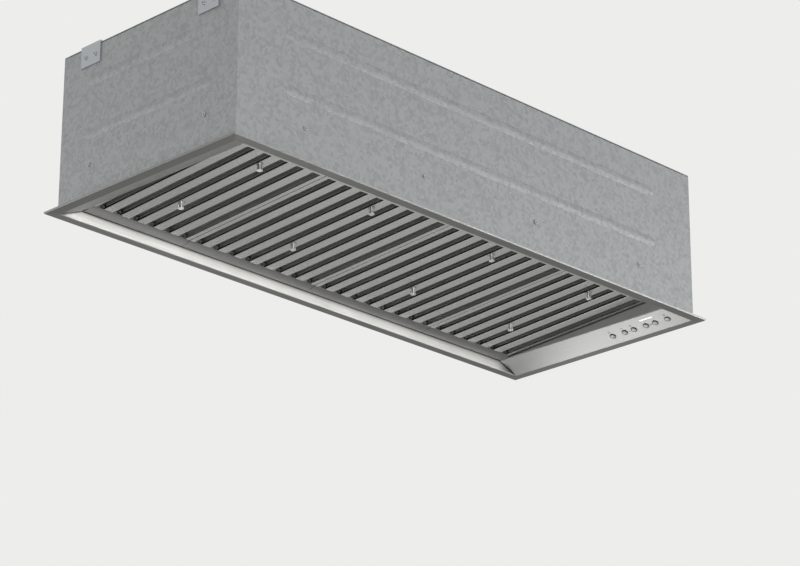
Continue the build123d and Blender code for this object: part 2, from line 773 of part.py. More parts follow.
def make_blower():
    """Scroll, side plates, wheel, shaft, motor, the motor's bracket and the screws into the top panel."""
    save("blower_scroll", cut_screws(at_blower(scroll_wrap()), blower_screws))
    save("blower_side_plates", at_blower(Compound([scroll_side(s).solid() for s in (-1, 1)])))
    save("impeller", at_blower(impeller()))
    along = Rot(Y=90)
    save("motor_shaft", at_blower(along * rod(shaft_radius, -hub_length, motor_gap + shaft_into_motor)))
    motor = rod(motor_radius, motor_gap, motor_end)
    motor = chamfer(motor.edges().filter_by(GeomType.CIRCLE), motor_edge)
    motor -= rod(shaft_radius + shaft_clearance, 0, motor_gap + shaft_into_motor + 2)
    save("motor", at_blower(along * motor))
    plate_x = scroll_half_width + scroll_sheet
    inlet = impeller_radius - blade_depth + inlet_clearance
    reach = inlet + bracket_foot
    back = max(motor_end, plate_x)
    spider = along * rod(motor_radius * 0.7, 0, bracket_sheet)
    for angle in (90, 210, 330):
        across = (-bracket_arm / 2, bracket_arm / 2)
        arm = block((0, bracket_sheet), across, (0, reach))
        foot = block((plate_x - back, bracket_sheet), across, (inlet + 2, reach))
        spider += Rot(X=angle - 90) * (arm + foot)
    save("motor_bracket", at_blower(Pos(back, 0, 0) * spider))
    save("blower_screws", Compound([screw(p).solid() for p in blower_screws]))


# Duct collar and damper


def make_duct():
    """A spigot for a round duct, with a butterfly damper that only the fan's air opens."""
    base_z = top_of_casing
    inner = duct_radius - duct_sheet
    half = collar_base / 2
    base = block((-half, half), (-half, half), (base_z, base_z + collar_base_sheet))
    duct_top = base_z + collar_base_sheet + duct_height
    collar = base + rod(duct_radius, base_z, duct_top) - rod(inner, base_z - 1, duct_top + 1)
    stop_top = damper_z - damper_sheet / 2 - damper_stop_gap
    stop_low = stop_top - damper_stop_sheet
    collar += rod(inner + duct_sheet / 2, stop_low, stop_top) - rod(inner - damper_stop, stop_low, stop_top)
    collar -= Pos(0, 0, damper_z) * Rot(Y=90) * Cylinder(pin_radius + pin_clearance, 4 * duct_radius)
    save("duct_collar", cut_screws(collar, blower_screws))
    pin = Rot(Y=90) * Cylinder(pin_radius, 2 * duct_radius - duct_sheet)
    save("damper_pin", Pos(0, 0, damper_z) * pin)
    knuckle = pin_radius + pin_clearance + knuckle_wall
    flap_radius = inner - damper_edge_gap
    disc = Cylinder(flap_radius, damper_sheet)
    outer_knuckle = (knuckle_middle + knuckle_step, knuckle_outer)
    two_outer = [(-outer_knuckle[1], -outer_knuckle[0]), outer_knuckle]
    one_middle = [(-knuckle_middle, knuckle_middle)]
    for name, side, ranges in (("damper_flap_front", -1, two_outer), ("damper_flap_rear", 1, one_middle)):
        near = knuckle + knuckle_gap
        half_disc = sorted((side * near, side * duct_radius))
        flap = disc & block((-duct_radius, duct_radius), half_disc, (-damper_sheet, damper_sheet))
        for low, high in ranges:
            tongue = sorted((side * pin_radius, side * (near + 1)))
            flap += block((low, high), tongue, (-damper_sheet / 2, damper_sheet / 2))
            flap += Rot(Y=90) * rod(knuckle, low, high)
        flap -= Rot(Y=90) * Cylinder(pin_radius + pin_clearance, 4 * duct_radius)
        save(name, Pos(0, 0, damper_z) * flap)


# Supply


def make_supply():
    """Terminal box under the top panel, the cable gland through both, and the internal leads."""
    half_x, half_y = terminal_length / 2, terminal_width / 2
    wall, low = terminal_wall, casing_height - terminal_height
    box = block((-half_x, half_x), (-half_y, half_y), (low, casing_height))
    inside = (low - 1, casing_height - wall)
    box -= block((wall - half_x, half_x - wall), (wall - half_y, half_y - wall), inside)
    box -= rod(gland_radius + gland_clearance, low, casing_height + 1)
    lid = block((-half_x, half_x), (-half_y, half_y), (low - wall, low))
    place = Pos(terminal_x, terminal_y, 0)
    save("terminal_box", place * Compound([box.solid(), lid.solid()]))
    nut_top = casing_height - wall
    nut_low = nut_top - gland_nut_height
    head, top = gland_head_radius, top_of_casing + gland_head_height
    gland = turned([
        (gland_bore, nut_low), (head, nut_low), (head, nut_top), (gland_radius, nut_top),
        (gland_radius, top_of_casing), (head, top_of_casing), (head, top - gland_head_height * 0.4),
        (head * 0.8, top), (gland_bore, top),
    ])
    save("cable_gland", place * gland)


def lead(points):
    """A round lead that follows the points with rounded bends."""
    path = FilletPolyline(*points, radius=lead_bend) if len(points) > 2 else Polyline(*points)
    start = Plane(origin=path @ 0, z_dir=path % 0)
    return sweep(start * Circle(lead_radius), path=path)


def make_wiring():
    """Leads from the terminal box to the motor, control unit and lamp driver, and on from those."""
    left, right = terminal_x - terminal_length / 2, terminal_x + terminal_length / 2
    high = casing_height - terminal_height / 2
    turn_x, turn_y = scroll_half_width + lead_beside_scroll, blower_y + motor_radius * 0.8
    motor_lead = [
        (left, terminal_y, high), (turn_x, terminal_y, high), (turn_x, turn_y, high),
        (turn_x, turn_y, blower_z), (motor_end, turn_y, blower_z),
    ]
    unit_lead = [(right, terminal_y, high), (lead_x, terminal_y, high), (lead_x, terminal_y, unit_top)]
    lamp_y = terminal_y + terminal_width / 4
    driver_lead = [
        (left, lamp_y, high), (-lead_x, lamp_y, high), (-lead_x, driver_y, high),
        (-lead_x, driver_y, unit_top),
    ]
    lamp_end_x = -lamp_length / 2 - lamp_end - lamp_housing_wall
    lamp_point = Vector(lamp_end_x, hypot(front_run, front_rise) / 2, trim_sheet + lamp_housing_depth * 0.6)
    lamp_point = tuple(lamp_plane.from_local_coords(lamp_point))
    driver_front, driver_z = driver_y - driver_length / 2, unit_top - driver_height * 0.7
    lamp_lead = [
        (-lead_x, driver_front, driver_z), (-lead_x, driver_front - lead_bend, driver_z),
        (-lead_x, lamp_point[1], lamp_point[2]), lamp_point,
    ]
    board_back, last_button = face_to_board + board_thickness, button_row_y + button_half_row
    behind = board_back + lead_inset
    board_lead = [(unit_y - unit_length / 2, behind), (last_button, behind), (last_button, board_back)]
    board_lead = [tuple(panel.from_local_coords(Vector(y, button_row_rise, w))) for y, w in board_lead]
    leads = [lead(path) for path in (motor_lead, unit_lead, driver_lead, lamp_lead, board_lead)]
    save("wiring", Compound([one.solid() for one in leads]))


os.makedirs("parts", exist_ok=True)
make_trim()
for number, (middle, bay) in enumerate(bays, 1):
    make_filter(number, middle, bay)
make_clips()
make_casing()
make_controls()
make_lamp()
make_blower()
make_duct()
make_supply()
make_wiring()
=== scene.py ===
import bmesh
import bpy
import numpy as np
from mathutils import Matrix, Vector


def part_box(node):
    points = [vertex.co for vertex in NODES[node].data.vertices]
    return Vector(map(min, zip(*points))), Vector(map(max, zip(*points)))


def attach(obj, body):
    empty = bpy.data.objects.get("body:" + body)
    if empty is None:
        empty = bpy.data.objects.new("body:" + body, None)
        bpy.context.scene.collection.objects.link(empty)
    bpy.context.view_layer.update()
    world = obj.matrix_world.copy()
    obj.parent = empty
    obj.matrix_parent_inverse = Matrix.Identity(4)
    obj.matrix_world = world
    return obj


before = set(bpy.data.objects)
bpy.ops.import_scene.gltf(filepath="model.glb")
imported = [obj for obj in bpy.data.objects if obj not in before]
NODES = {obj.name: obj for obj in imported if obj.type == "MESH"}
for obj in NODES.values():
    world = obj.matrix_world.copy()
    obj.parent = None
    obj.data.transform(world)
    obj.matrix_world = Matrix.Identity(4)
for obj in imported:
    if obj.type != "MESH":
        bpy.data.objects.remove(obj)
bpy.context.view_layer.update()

bl_info = {
    "name": "Range hood insert finishes",
    "version": (1, 0, 0),
    "blender": (4, 5, 0),
    "location": "View3D > Sidebar > Hood insert",
    "description": "Finishes, small pressed and printed details, and a studio for a hood insert",
    "category": "Add Mesh",
}

MM = 0.001
UP = (0.0, 0.0, 1.0)

# Brushed metal: cloudy patches of about 70 mm, and lines this many times as long as they are wide
PATCHES_PER_METRE = 14.0
LINE_RATIO = 60
# Painted shade in creases: where less than this share of the sky is open, a crease is darkened
# down to the second share of its colour
CREASE_SKY, CREASE_SHADE = 0.45, 0.06
# A brushing direction leans this much off its axis, so that a face square to it still has a tangent
LEAN = (0.02, 0.02, 0.03)

# The upward shares of the normal between which a sheet's face goes from upright to level, and its
# painted light or shade fades out. The control panel's slope has 0.926, so on the trims it counts
# as upright and takes their painted light.
TRIM_TURN = (0.93, 0.99)
GUTTER_TURN = (0.05, 0.3)

# Pitch of the emitters behind the lamp's lens and behind the window, in millimetres
LAMP_PITCH_MM = 40.0
WINDOW_PITCH_MM = 11.0

# How far a detail's base sits in the surface under it
SINK = 0.3 * MM

# Screws: their heads, and the rows that they stand in on the walls, the brackets and the top
HEAD_RADIUS, HEAD_HEIGHT = 3.6 * MM, 2 * MM
CROSS_ARM, CROSS_HALF = 2.0 * MM, 0.45 * MM
LONG_ROW = np.linspace(-0.421, 0.421, 4)
SHORT_ROW = (-0.145, 0.145)
BRACKET_ROW = (-0.1625, -0.1375, 0.1375, 0.1625)
ROW_BELOW_TRIM_TOP, ROW_BELOW_CASING_TOP = 6 * MM, 20 * MM
TOP_ROW_Y = 0.2142

# Beads: heights on the walls, half lengths, places on the top, and their crest's share of their
# half width
BEAD_HEIGHTS = (0.125, 0.225)
LONG_BEAD, END_BEAD, TOP_BEAD = 0.47, 0.16, 0.15
TOP_BEADS_X = (-0.36, -0.20, 0.20, 0.36)
BEAD_RISE = 0.08

# Spot welds: rows along the lower and upper edges of the front and rear walls, and along the top's
# long edges
WELD_COLUMNS, WELD_HEIGHTS = np.linspace(-0.53, 0.53, 14), (0.02, 0.275)
TOP_WELD_COLUMNS, TOP_WELD_INSET = np.linspace(-0.49, 0.49, 8), 7 * MM

# The duct's bead: its middle's radius, half thickness and half height in millimetres
DUCT_BEAD_MM = (99.2, 1.6, 2.4)
DUCT_BEAD_DROP = 12 * MM
NUT_CORNER = 14.6 * MM

# The control panel's slope: its rise and run in millimetres, its lower edge's X, and how far up the
# slope the buttons and the signs behind them are
SLOPE_RISE, SLOPE_RUN = 19.0, 46.5
SLOPE_EDGE = 0.571
BUTTON_ROW, SIGN_ROW = 21.2 * MM, 34.0 * MM
# Shares of a sign's half size: its stroke's half width, the ring's hole and the dot
STROKE, RING_HOLE, DOT = 0.24, 0.62, 0.6

# The camera as solved from the flange's corners in the photograph: its place, its heading, pitch
# and roll in degrees, and its lens and sensor in millimetres
CAMERA_PLACE = (-3.48584, -3.46151, -1.93776)
CAMERA_TURN = (45.415, 21.274, 0.145)
CAMERA_LENS, CAMERA_SENSOR = 134.28, 36.0
FLOOR_HALF = 30.0


# Colours


def linear(text):
    """Turns an sRGB hex value into linear light, by the two-part curve of sRGB."""
    value = np.array([int(text[i:i + 2], 16) for i in (1, 3, 5)]) / 255
    light = np.where(value <= 0.04045, value / 12.92, ((value + 0.055) / 1.055) ** 2.4)
    return tuple(float(v) for v in light)


def shade(colour, factor):
    """A linear colour made lighter or darker by a factor, with full alpha."""
    return tuple(min(1.0, c * factor) for c in tuple(colour)[:3]) + (1.0,)


# Node trees


def add(tree, kind, settings=None, links=None):
    """Adds a node of a kind, sets its attributes and sockets, and links its inputs."""
    node = tree.nodes.new("ShaderNode" + kind)
    for key, value in (settings or {}).items():
        if isinstance(key, str) and hasattr(node, key):
            setattr(node, key, value)
        else:
            node.inputs[key].default_value = value
    for key, source in (links or {}).items():
        tree.links.new(source, node.inputs[key])
    return node


def material(name):
    """A new material with nothing in its tree."""
    made = bpy.data.materials.new(name)
    made.use_nodes = True
    made.node_tree.nodes.clear()
    return made, made.node_tree


def surface(tree, settings, links):
    """Ends a tree in one principled surface."""
    body = add(tree, "BsdfPrincipled", settings, links)
    add(tree, "OutputMaterial", None, {"Surface": body.outputs[0]})


def place(tree, scale=(1, 1, 1)):
    """Object coordinates in metres, stretched by three factors."""
    where = add(tree, "TexCoord")
    return add(tree, "Mapping", {"Scale": scale}, {"Vector": where.outputs["Object"]}).outputs[0]


def brushed(name, colour, along, roughness, line_mm, spread=0.16, cloud=0.3, comb=0.6,
            crease_mm=4.0, fold=1.0, turn=(0.3, 0.98)):
    """Sheet metal brushed along one axis. The abrasive belt leaves long fine lines, which spread a
    highlight across them, so the tangent is the surface's normal crossed with the brushing
    direction. Real lines are 0.1 to 0.3 mm apart, so they're drawn coarser to show, with cloudy
    patches mixed in. Ambient occlusion paints shade into the colour where another surface is closer
    than crease_mm, so that joints and folds read as dark lines. fold paints light and shade by
    which way a face looks, fitted to the tones of upright and level faces in the photograph: from
    fold times the colour on an upright face to the colour itself on a level one, between the two
    upward shares of the normal in turn."""
    made, tree = material(name)
    across, run = 1000 / line_mm, 1000 / (line_mm * LINE_RATIO)
    scale = [run if axis == along else across for axis in "XYZ"]
    lines = add(tree, "TexNoise", {"Scale": 1.0, "Detail": 3.0, "Roughness": 0.65}, {
        "Vector": place(tree, scale),
    })
    patches = add(tree, "TexNoise", {"Scale": PATCHES_PER_METRE, "Detail": 1.0}, {
        "Vector": place(tree),
    })
    both = add(tree, "Math", {"operation": "MULTIPLY_ADD", 1: cloud}, {
        0: patches.outputs["Fac"], 2: lines.outputs["Fac"],
    })
    share = add(tree, "Math", {"operation": "DIVIDE", 1: 1 + cloud}, {0: both.outputs[0]})
    tint = add(tree, "ValToRGB", None, {"Fac": share.outputs[0]})
    # Noise keeps to the middle of its range, so the ramp's ends do too
    ends = tint.color_ramp.elements
    ends[0].position, ends[1].position = 0.23, 0.69
    ends[0].color = shade(colour, 1 - spread / 2)
    ends[1].color = shade(colour, 1 + spread / 2)
    # Painted shade: the colour darkens in creases and joints, where little of the sky is open
    sky = add(tree, "AmbientOcclusion", {"samples": 8, "Distance": crease_mm / 1000})
    crease_shade = add(tree, "MapRange", {1: CREASE_SKY, 3: CREASE_SHADE}, {"Value": sky.outputs["AO"]})
    # Painted light and shade by which way a face looks: upright faces take fold times the colour
    facing = add(tree, "NewGeometry").outputs["Normal"]
    upward = add(tree, "SeparateXYZ", None, {"Vector": facing}).outputs["Z"]
    level = add(tree, "Math", {"operation": "ABSOLUTE"}, {0: upward})
    side = add(tree, "MapRange", {1: turn[0], 2: turn[1], 3: fold}, {"Value": level.outputs[0]})
    painted_shading = add(tree, "Math", {"operation": "MULTIPLY"}, {
        0: crease_shade.outputs[0], 1: side.outputs[0],
    })
    shaded_tint = add(tree, "VectorMath", {"operation": "SCALE"}, {
        0: tint.outputs[0], "Scale": painted_shading.outputs[0],
    })
    rough = add(tree, "MapRange", {3: roughness * 0.85, 4: roughness * 1.15}, {
        "Value": lines.outputs["Fac"],
    })
    bump = add(tree, "Bump", {"Strength": 0.12, "Distance": 0.0002}, {
        "Height": lines.outputs["Fac"],
    })
    direction = tuple(1.0 if axis == along else lean for axis, lean in zip("XYZ", LEAN))
    over = add(tree, "VectorMath", {"operation": "CROSS_PRODUCT", 1: direction}, {0: facing})
    surface(tree, {"Metallic": 1.0, "Anisotropic": comb}, {
        "Base Color": shaded_tint.outputs[0], "Roughness": rough.outputs[0], "Normal": bump.outputs[0],
        "Tangent": over.outputs[0],
    })
    return made


def spangled(name, colour, roughness, flake_mm):
    """Hot-dip galvanised sheet. Zinc freezes in flat crystals, each of its own grey and gloss."""
    made, tree = material(name)
    flakes = add(tree, "TexVoronoi", {"Scale": 1000 / flake_mm}, {"Vector": place(tree)})
    haze = add(tree, "TexNoise", {"Scale": 30.0, "Detail": 4.0}, {"Vector": place(tree)})
    grey = add(tree, "SeparateColor", None, {"Color": flakes.outputs["Color"]})
    blend = add(tree, "Math", {"operation": "MULTIPLY_ADD", 1: 0.5}, {
        0: haze.outputs["Fac"], 2: grey.outputs[0],
    })
    tint = add(tree, "ValToRGB", None, {"Fac": blend.outputs[0]})
    tint.color_ramp.elements[0].color = shade(colour, 0.86)
    tint.color_ramp.elements[1].color = shade(colour, 1.1)
    rough = add(tree, "MapRange", {3: roughness * 0.92, 4: roughness * 1.08}, {
        "Value": grey.outputs[1],
    })
    surface(tree, {"Metallic": 1.0}, {
        "Base Color": tint.outputs[0], "Roughness": rough.outputs[0],
    })
    return made


def polished(name, colour, roughness):
    """Plated or ground steel. It mirrors what is round it, softened a little by its grain, which is
    drawn 2.5 mm wide, coarser than the real one, so that it shows."""
    made, tree = material(name)
    grain = add(tree, "TexNoise", {"Scale": 400.0, "Detail": 2.0}, {"Vector": place(tree)})
    rough = add(tree, "MapRange", {3: roughness * 0.8, 4: roughness * 1.3}, {
        "Value": grain.outputs["Fac"],
    })
    surface(tree, {"Base Color": shade(colour, 1), "Metallic": 1.0}, {
        "Roughness": rough.outputs[0],
    })
    return made


def lathe_turned(name, colour, roughness):
    """Chrome over steel that was turned about an upright axis. The tool's fine rings, drawn 0.4 mm
    apart, spread each reflection up and down into a streak, so the tangent is the axis laid on the
    surface."""
    made, tree = material(name)
    rings = add(tree, "TexNoise", {"Scale": 1.0, "Detail": 1.0}, {
        "Vector": place(tree, (40, 40, 2500)),
    })
    rough = add(tree, "MapRange", {3: roughness * 0.92, 4: roughness * 1.08}, {
        "Value": rings.outputs["Fac"],
    })
    facing = add(tree, "NewGeometry").outputs["Normal"]
    ring = add(tree, "VectorMath", {"operation": "CROSS_PRODUCT", 1: UP}, {0: facing})
    rise = add(tree, "VectorMath", {"operation": "CROSS_PRODUCT"}, {0: facing, 1: ring.outputs[0]})
    surface(tree, {"Base Color": shade(colour, 1), "Metallic": 1.0, "Anisotropic": 0.9}, {
        "Roughness": rough.outputs[0], "Tangent": rise.outputs[0],
    })
    return made


def moulded(name, colour, roughness, grain_mm=0.6, coat=0.0, depth=0.1):
    """Injection-moulded plastic, or paint. A fine spark-eroded grain breaks up its highlight."""
    made, tree = material(name)
    grain = add(tree, "TexNoise", {"Scale": 1000 / grain_mm, "Detail": 2.0}, {
        "Vector": place(tree),
    })
    tint = add(tree, "ValToRGB", None, {"Fac": grain.outputs["Fac"]})
    tint.color_ramp.elements[0].color = shade(colour, 0.93)
    tint.color_ramp.elements[1].color = shade(colour, 1.07)
    rough = add(tree, "MapRange", {3: roughness * 0.9, 4: roughness * 1.1}, {
        "Value": grain.outputs["Fac"],
    })
    bump = add(tree, "Bump", {"Strength": depth, "Distance": 0.0001}, {
        "Height": grain.outputs["Fac"],
    })
    surface(tree, {"Coat Weight": coat}, {
        "Base Color": tint.outputs[0], "Roughness": rough.outputs[0], "Normal": bump.outputs[0],
    })
    return made


def circuit(name, mask, copper):
    """Glass-epoxy board under solder mask. Copper tracks show as lighter lines round small fields
    of 1.25 by 0.63 mm."""
    made, tree = material(name)
    tracks = add(tree, "TexBrick", {
        "Scale": 400.0, "Mortar Size": 0.03, "Color1": shade(mask, 1), "Color2": shade(mask, 0.9),
        "Mortar": shade(copper, 1),
    }, {"Vector": place(tree)})
    surface(tree, {"Roughness": 0.35, "Coat Weight": 0.3}, {"Base Color": tracks.outputs["Color"]})
    return made


def opal(name, colour, glow, strength, pitch_mm):
    """Opal plastic over a row of lit emitters. It scatters their light, so each shows as a soft
    brighter patch at the emitters' pitch."""
    made, tree = material(name)
    where = add(tree, "SeparateXYZ", None, {"Vector": place(tree)})
    turn = add(tree, "Math", {"operation": "MULTIPLY", 1: 2000 * np.pi / pitch_mm}, {
        0: where.outputs["X"],
    })
    wave = add(tree, "Math", {"operation": "COSINE"}, {0: turn.outputs[0]})
    patch = add(tree, "MapRange", {1: -1.0, 2: 1.0, 3: 0.0, 4: 1.0}, {"Value": wave.outputs[0]})
    light = add(tree, "ValToRGB", None, {"Fac": patch.outputs[0]})
    light.color_ramp.elements[0].color = shade(glow, 0.8)
    light.color_ramp.elements[1].color = shade(glow, 1.0)
    surface(tree, {
        "Base Color": shade(colour, 1), "Roughness": 0.35, "Emission Strength": strength,
    }, {"Emission Color": light.outputs[0]})
    return made


# Meshes


def build(name, points, faces, body, finish, smooth=False):
    """Makes a closed mesh of points and faces, merges its seams, and lets it ride a body."""
    mesh = bpy.data.meshes.new(name)
    mesh.from_pydata(points.reshape(-1, 3).tolist(), [], faces.tolist())
    shell = bmesh.new()
    shell.from_mesh(mesh)
    bmesh.ops.remove_doubles(shell, verts=shell.verts, dist=1e-7)
    bmesh.ops.recalc_face_normals(shell, faces=shell.faces)
    shell.to_mesh(mesh)
    shell.free()
    mesh.materials.append(finish)
    mesh.polygons.foreach_set("use_smooth", np.full(len(mesh.polygons), smooth))
    piece = bpy.data.objects.new(name, mesh)
    bpy.context.scene.collection.objects.link(piece)
    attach(piece, body)


def quads(rows, columns, copies=1):
    """Faces of copies of a grid of rows by columns of points, closed round its columns."""
    i, j = np.meshgrid(np.arange(rows - 1), np.arange(columns), indexing="ij")
    k = (j + 1) % columns
    here, above = i * columns, (i + 1) * columns
    grid = np.stack([here + j, above + j, above + k, here + k], -1)
    start = np.arange(copies)[:, None, None] * rows * columns
    return (grid.reshape(1, -1, 4) + start).reshape(-1, 4)


def axes(normals):
    """For each unit normal, two unit vectors across it that are square to each other and to it."""
    normals = np.atleast_2d(np.asarray(normals, float))
    helper = np.where(np.abs(normals[:, 2:3]) > 0.9, [[1.0, 0.0, 0.0]], [UP])
    first = np.cross(helper, normals)
    first /= np.linalg.norm(first, axis=1, keepdims=True)
    return first, np.cross(normals, first)


def stamped(centres, normals, ring, profile):
    """Copies of a low solid on surfaces. ring (c, 2) is its outline, and profile (r, 2) gives each
    level's share of the outline and its height, so a point is centre + share x outline + height x
    normal."""
    centres, normals = np.asarray(centres), np.asarray(normals)
    first, second = axes(normals)
    flat = profile[:, None, :1] * ring[None, :, :]
    lift = profile[:, 1]
    points = centres[:, None, None, :] + flat[None, ..., :1] * first[:, None, None, :]
    points = points + flat[None, ..., 1:] * second[:, None, None, :]
    points = points + lift[None, :, None, None] * normals[:, None, None, :]
    return points, quads(len(profile), len(ring), len(centres))


def slab(sink, top):
    """The profile of a flat solid, from a base sunk in the surface to a top that stands out."""
    return np.array([[0.0, -sink], [1.0, -sink], [1.0, top], [0.0, top]])


def circle(radius, count):
    """Points evenly round a circle."""
    turn = np.linspace(0, 2 * np.pi, count, endpoint=False)
    return radius * np.stack([np.cos(turn), np.sin(turn)], -1)


def cross(arm, half):
    """The outline of a plus sign from its arm's length and half width."""
    corner = np.array([[half, half], [half, arm], [-half, arm]])
    quarter_turn = np.array([[0, -1], [1, 0]])
    turns = [np.linalg.matrix_power(quarter_turn, n) for n in range(4)]
    return np.concatenate([corner @ turn.T for turn in turns])


def turned(profile, centre, count):
    """A ring turned about +Z: each profile point (radius, height) goes round the centre."""
    turn = circle(1.0, count)
    radius, height = profile[:, 0], profile[:, 1]
    points = np.empty((len(profile), count, 3))
    points[..., :2] = radius[:, None, None] * turn[None]
    points[..., 2] = height[:, None]
    return points + np.asarray(centre), quads(len(profile), count)


# Settings


class HOOD_PG_finishes(bpy.types.PropertyGroup):
    # The trims are the same stainless as the baffles; this darker colour is painted shade on their
    # level faces
    steel: bpy.props.FloatVectorProperty(
        name="Trim steel", description="Colour of the brushed stainless trims",
        subtype="COLOR", size=3, min=0, max=1, default=linear("#6A6A69"))
    baffle: bpy.props.FloatVectorProperty(
        name="Baffle steel", description="Colour of the outer baffles and the filter frames",
        subtype="COLOR", size=3, min=0, max=1, default=linear("#A7A7A6"))
    inner: bpy.props.FloatVectorProperty(
        name="Inner baffle steel",
        description="Colour of the inner baffles, seen through the slots",
        subtype="COLOR", size=3, min=0, max=1, default=linear("#A0A09F"))
    zinc: bpy.props.FloatVectorProperty(
        name="Galvanised sheet", description="Colour of the casing",
        subtype="COLOR", size=3, min=0, max=1, default=linear("#929495"))
    lamp: bpy.props.FloatVectorProperty(
        name="Lamp colour", description="Colour of the lamp strip's light",
        subtype="COLOR", size=3, min=0, max=1, default=linear("#FFF4E4"))
    lamp_strength: bpy.props.FloatProperty(
        name="Lamp strength", description="Brightness of the lit lens, where 1 shows as white",
        min=0, default=1.0)
    brush: bpy.props.FloatProperty(
        name="Brush lines", description="Spacing of the drawn brush lines in millimetres",
        min=0.1, default=2.2)


class HOOD_PG_details(bpy.types.PropertyGroup):
    bead: bpy.props.FloatProperty(
        name="Bead width", description="Half width of the beads pressed in the casing",
        subtype="DISTANCE", unit="LENGTH", min=0.001, default=9 * MM)
    weld: bpy.props.FloatProperty(
        name="Weld mark", description="Radius of a spot weld's mark",
        subtype="DISTANCE", unit="LENGTH", min=0.0005, default=2.2 * MM)
    mark: bpy.props.FloatProperty(
        name="Panel mark", description="Half size of a printed mark beside a button",
        subtype="DISTANCE", unit="LENGTH", min=0.0002, default=2.3 * MM)


class HOOD_PG_stage(bpy.types.PropertyGroup):
    drop: bpy.props.FloatProperty(
        name="Floor", description="How far the floor is below the flange",
        subtype="DISTANCE", unit="LENGTH", min=2.0, default=5.2)
    floor: bpy.props.FloatVectorProperty(
        name="Floor colour", description="Colour of the floor", subtype="COLOR",
        size=3, min=0, max=1, default=linear("#ECECEB"))
    fill: bpy.props.FloatProperty(
        name="Fill light", description="Strength of the even light from all round",
        min=0, default=0.8)


# Materials in use, by name
FINISH = {}


def make_finishes(look):
    """Every finish on the object, from its real material, with painted light and shade on the
    brushed metals.
    """
    steel, line = look.steel, look.brush
    fine = line * 0.7
    zinc_bright, zinc_dull = linear("#A9ACAF"), linear("#8F9294")
    FINISH.update({
        # The trims' darker steel paints shade on their level faces, and fold paints light back on
        # their walls and slope
        "steel_along_x": brushed(
            "brushed_stainless_lengthwise", steel, "X", 0.42, line, spread=0.3, cloud=1.0,
            fold=1.98, turn=TRIM_TURN),
        "steel_along_y": brushed(
            "brushed_stainless_crosswise", steel, "Y", 0.42, line, fold=1.25, turn=TRIM_TURN),
        # The fascia is the left trim's steel with stronger painted light on its slope and walls
        "fascia": brushed(
            "brushed_stainless_fascia_painted_light", steel, "Y", 0.42, line, fold=1.98, turn=TRIM_TURN),
        "frame": brushed("brushed_stainless_frame", look.baffle, "Y", 0.27, fine, comb=0.5),
        # The baffles' finish is the frame's with painted shade: fold darkens their upright lips to
        # a twentieth
        "baffle": brushed(
            "brushed_stainless_baffle_painted_shade", look.baffle, "Y", 0.27, fine, comb=0.5, fold=0.05),
        "inner_baffle": brushed(
            "mill_stainless_inner_baffle", look.inner, "Y", 0.38, line, crease_mm=1.0),
        # The gutter is the same stainless; its darker colour is painted shade, and fold paints
        # light on its upright faces
        "gutter": brushed(
            "rolled_stainless_gutter_painted_shading", linear("#676766"), "X", 0.40, line, spread=0.1,
            fold=2.2, turn=GUTTER_TURN),
        "chrome": lathe_turned("turned_chrome", linear("#CCCCCC"), 0.34),
        "casing": spangled("galvanised_casing_sheet", look.zinc, 0.58, 6.0),
        "scroll": spangled("galvanised_blower_sheet", look.zinc, 0.38, 6.0),
        "fixing": polished("zinc_plated_fixing", zinc_bright, 0.38),
        "shaft": polished("ground_steel_shaft", zinc_bright, 0.16),
        "spring": brushed("tempered_spring_steel", zinc_dull, "X", 0.30, 1.0),
        "button": moulded(
            "satin_painted_abs_cap", linear("#9A9A99"), 0.30, coat=0.3, depth=0.04),
        "black": moulded("moulded_black_abs", linear("#141415"), 0.45),
        "nylon": moulded("moulded_black_nylon", linear("#1C1C1D"), 0.5, 0.9),
        "board": circuit("solder_masked_board", linear("#1E5136"), linear("#8C9A52")),
        "led_board": circuit("white_aluminium_board", linear("#E6E4DC"), linear("#C9C4B2")),
        "window": opal(
            "frosted_acrylic_window", linear("#E4E4E2"), linear("#FFFFFF"), 0.55,
            WINDOW_PITCH_MM),
        "opal": opal(
            "opal_polycarbonate_lens", linear("#ECEAE2"), look.lamp, look.lamp_strength,
            LAMP_PITCH_MM),
        "aluminium": brushed(
            "anodised_aluminium_extrusion", linear("#B8B9BA"), "X", 0.4, 3.0, spread=0.08),
        "driver": brushed(
            "folded_aluminium_case", linear("#A9AAAB"), "Y", 0.38, 3.0, spread=0.08),
        "wheel": spangled("galvanised_blower_wheel", linear("#AEB2B5"), 0.36, 4.0),
        "motor": moulded(
            "powder_coated_motor_can", linear("#5A5D60"), 0.45, 0.8, coat=0.1, depth=0.25),
        "damper": brushed(
            "rolled_aluminium_flap", linear("#B4B5B6"), "X", 0.36, 3.0, spread=0.1),
        "lead": moulded("extruded_pvc_sheath", linear("#26272A"), 0.5, 1.2, depth=0.05),
        "print": moulded("screen_printed_ink", linear("#2B2C2D"), 0.6, 0.5, depth=0.0),
        # Painted shade: a screw's cross recess is shown as a flat dark cross, not cut
        "recess": moulded("painted_shade_driver_recess", linear("#2A2B2C"), 0.6, 0.8, depth=0.0),
        "weld": polished("spot_weld_mark", linear("#8F9091"), 0.34),
    })


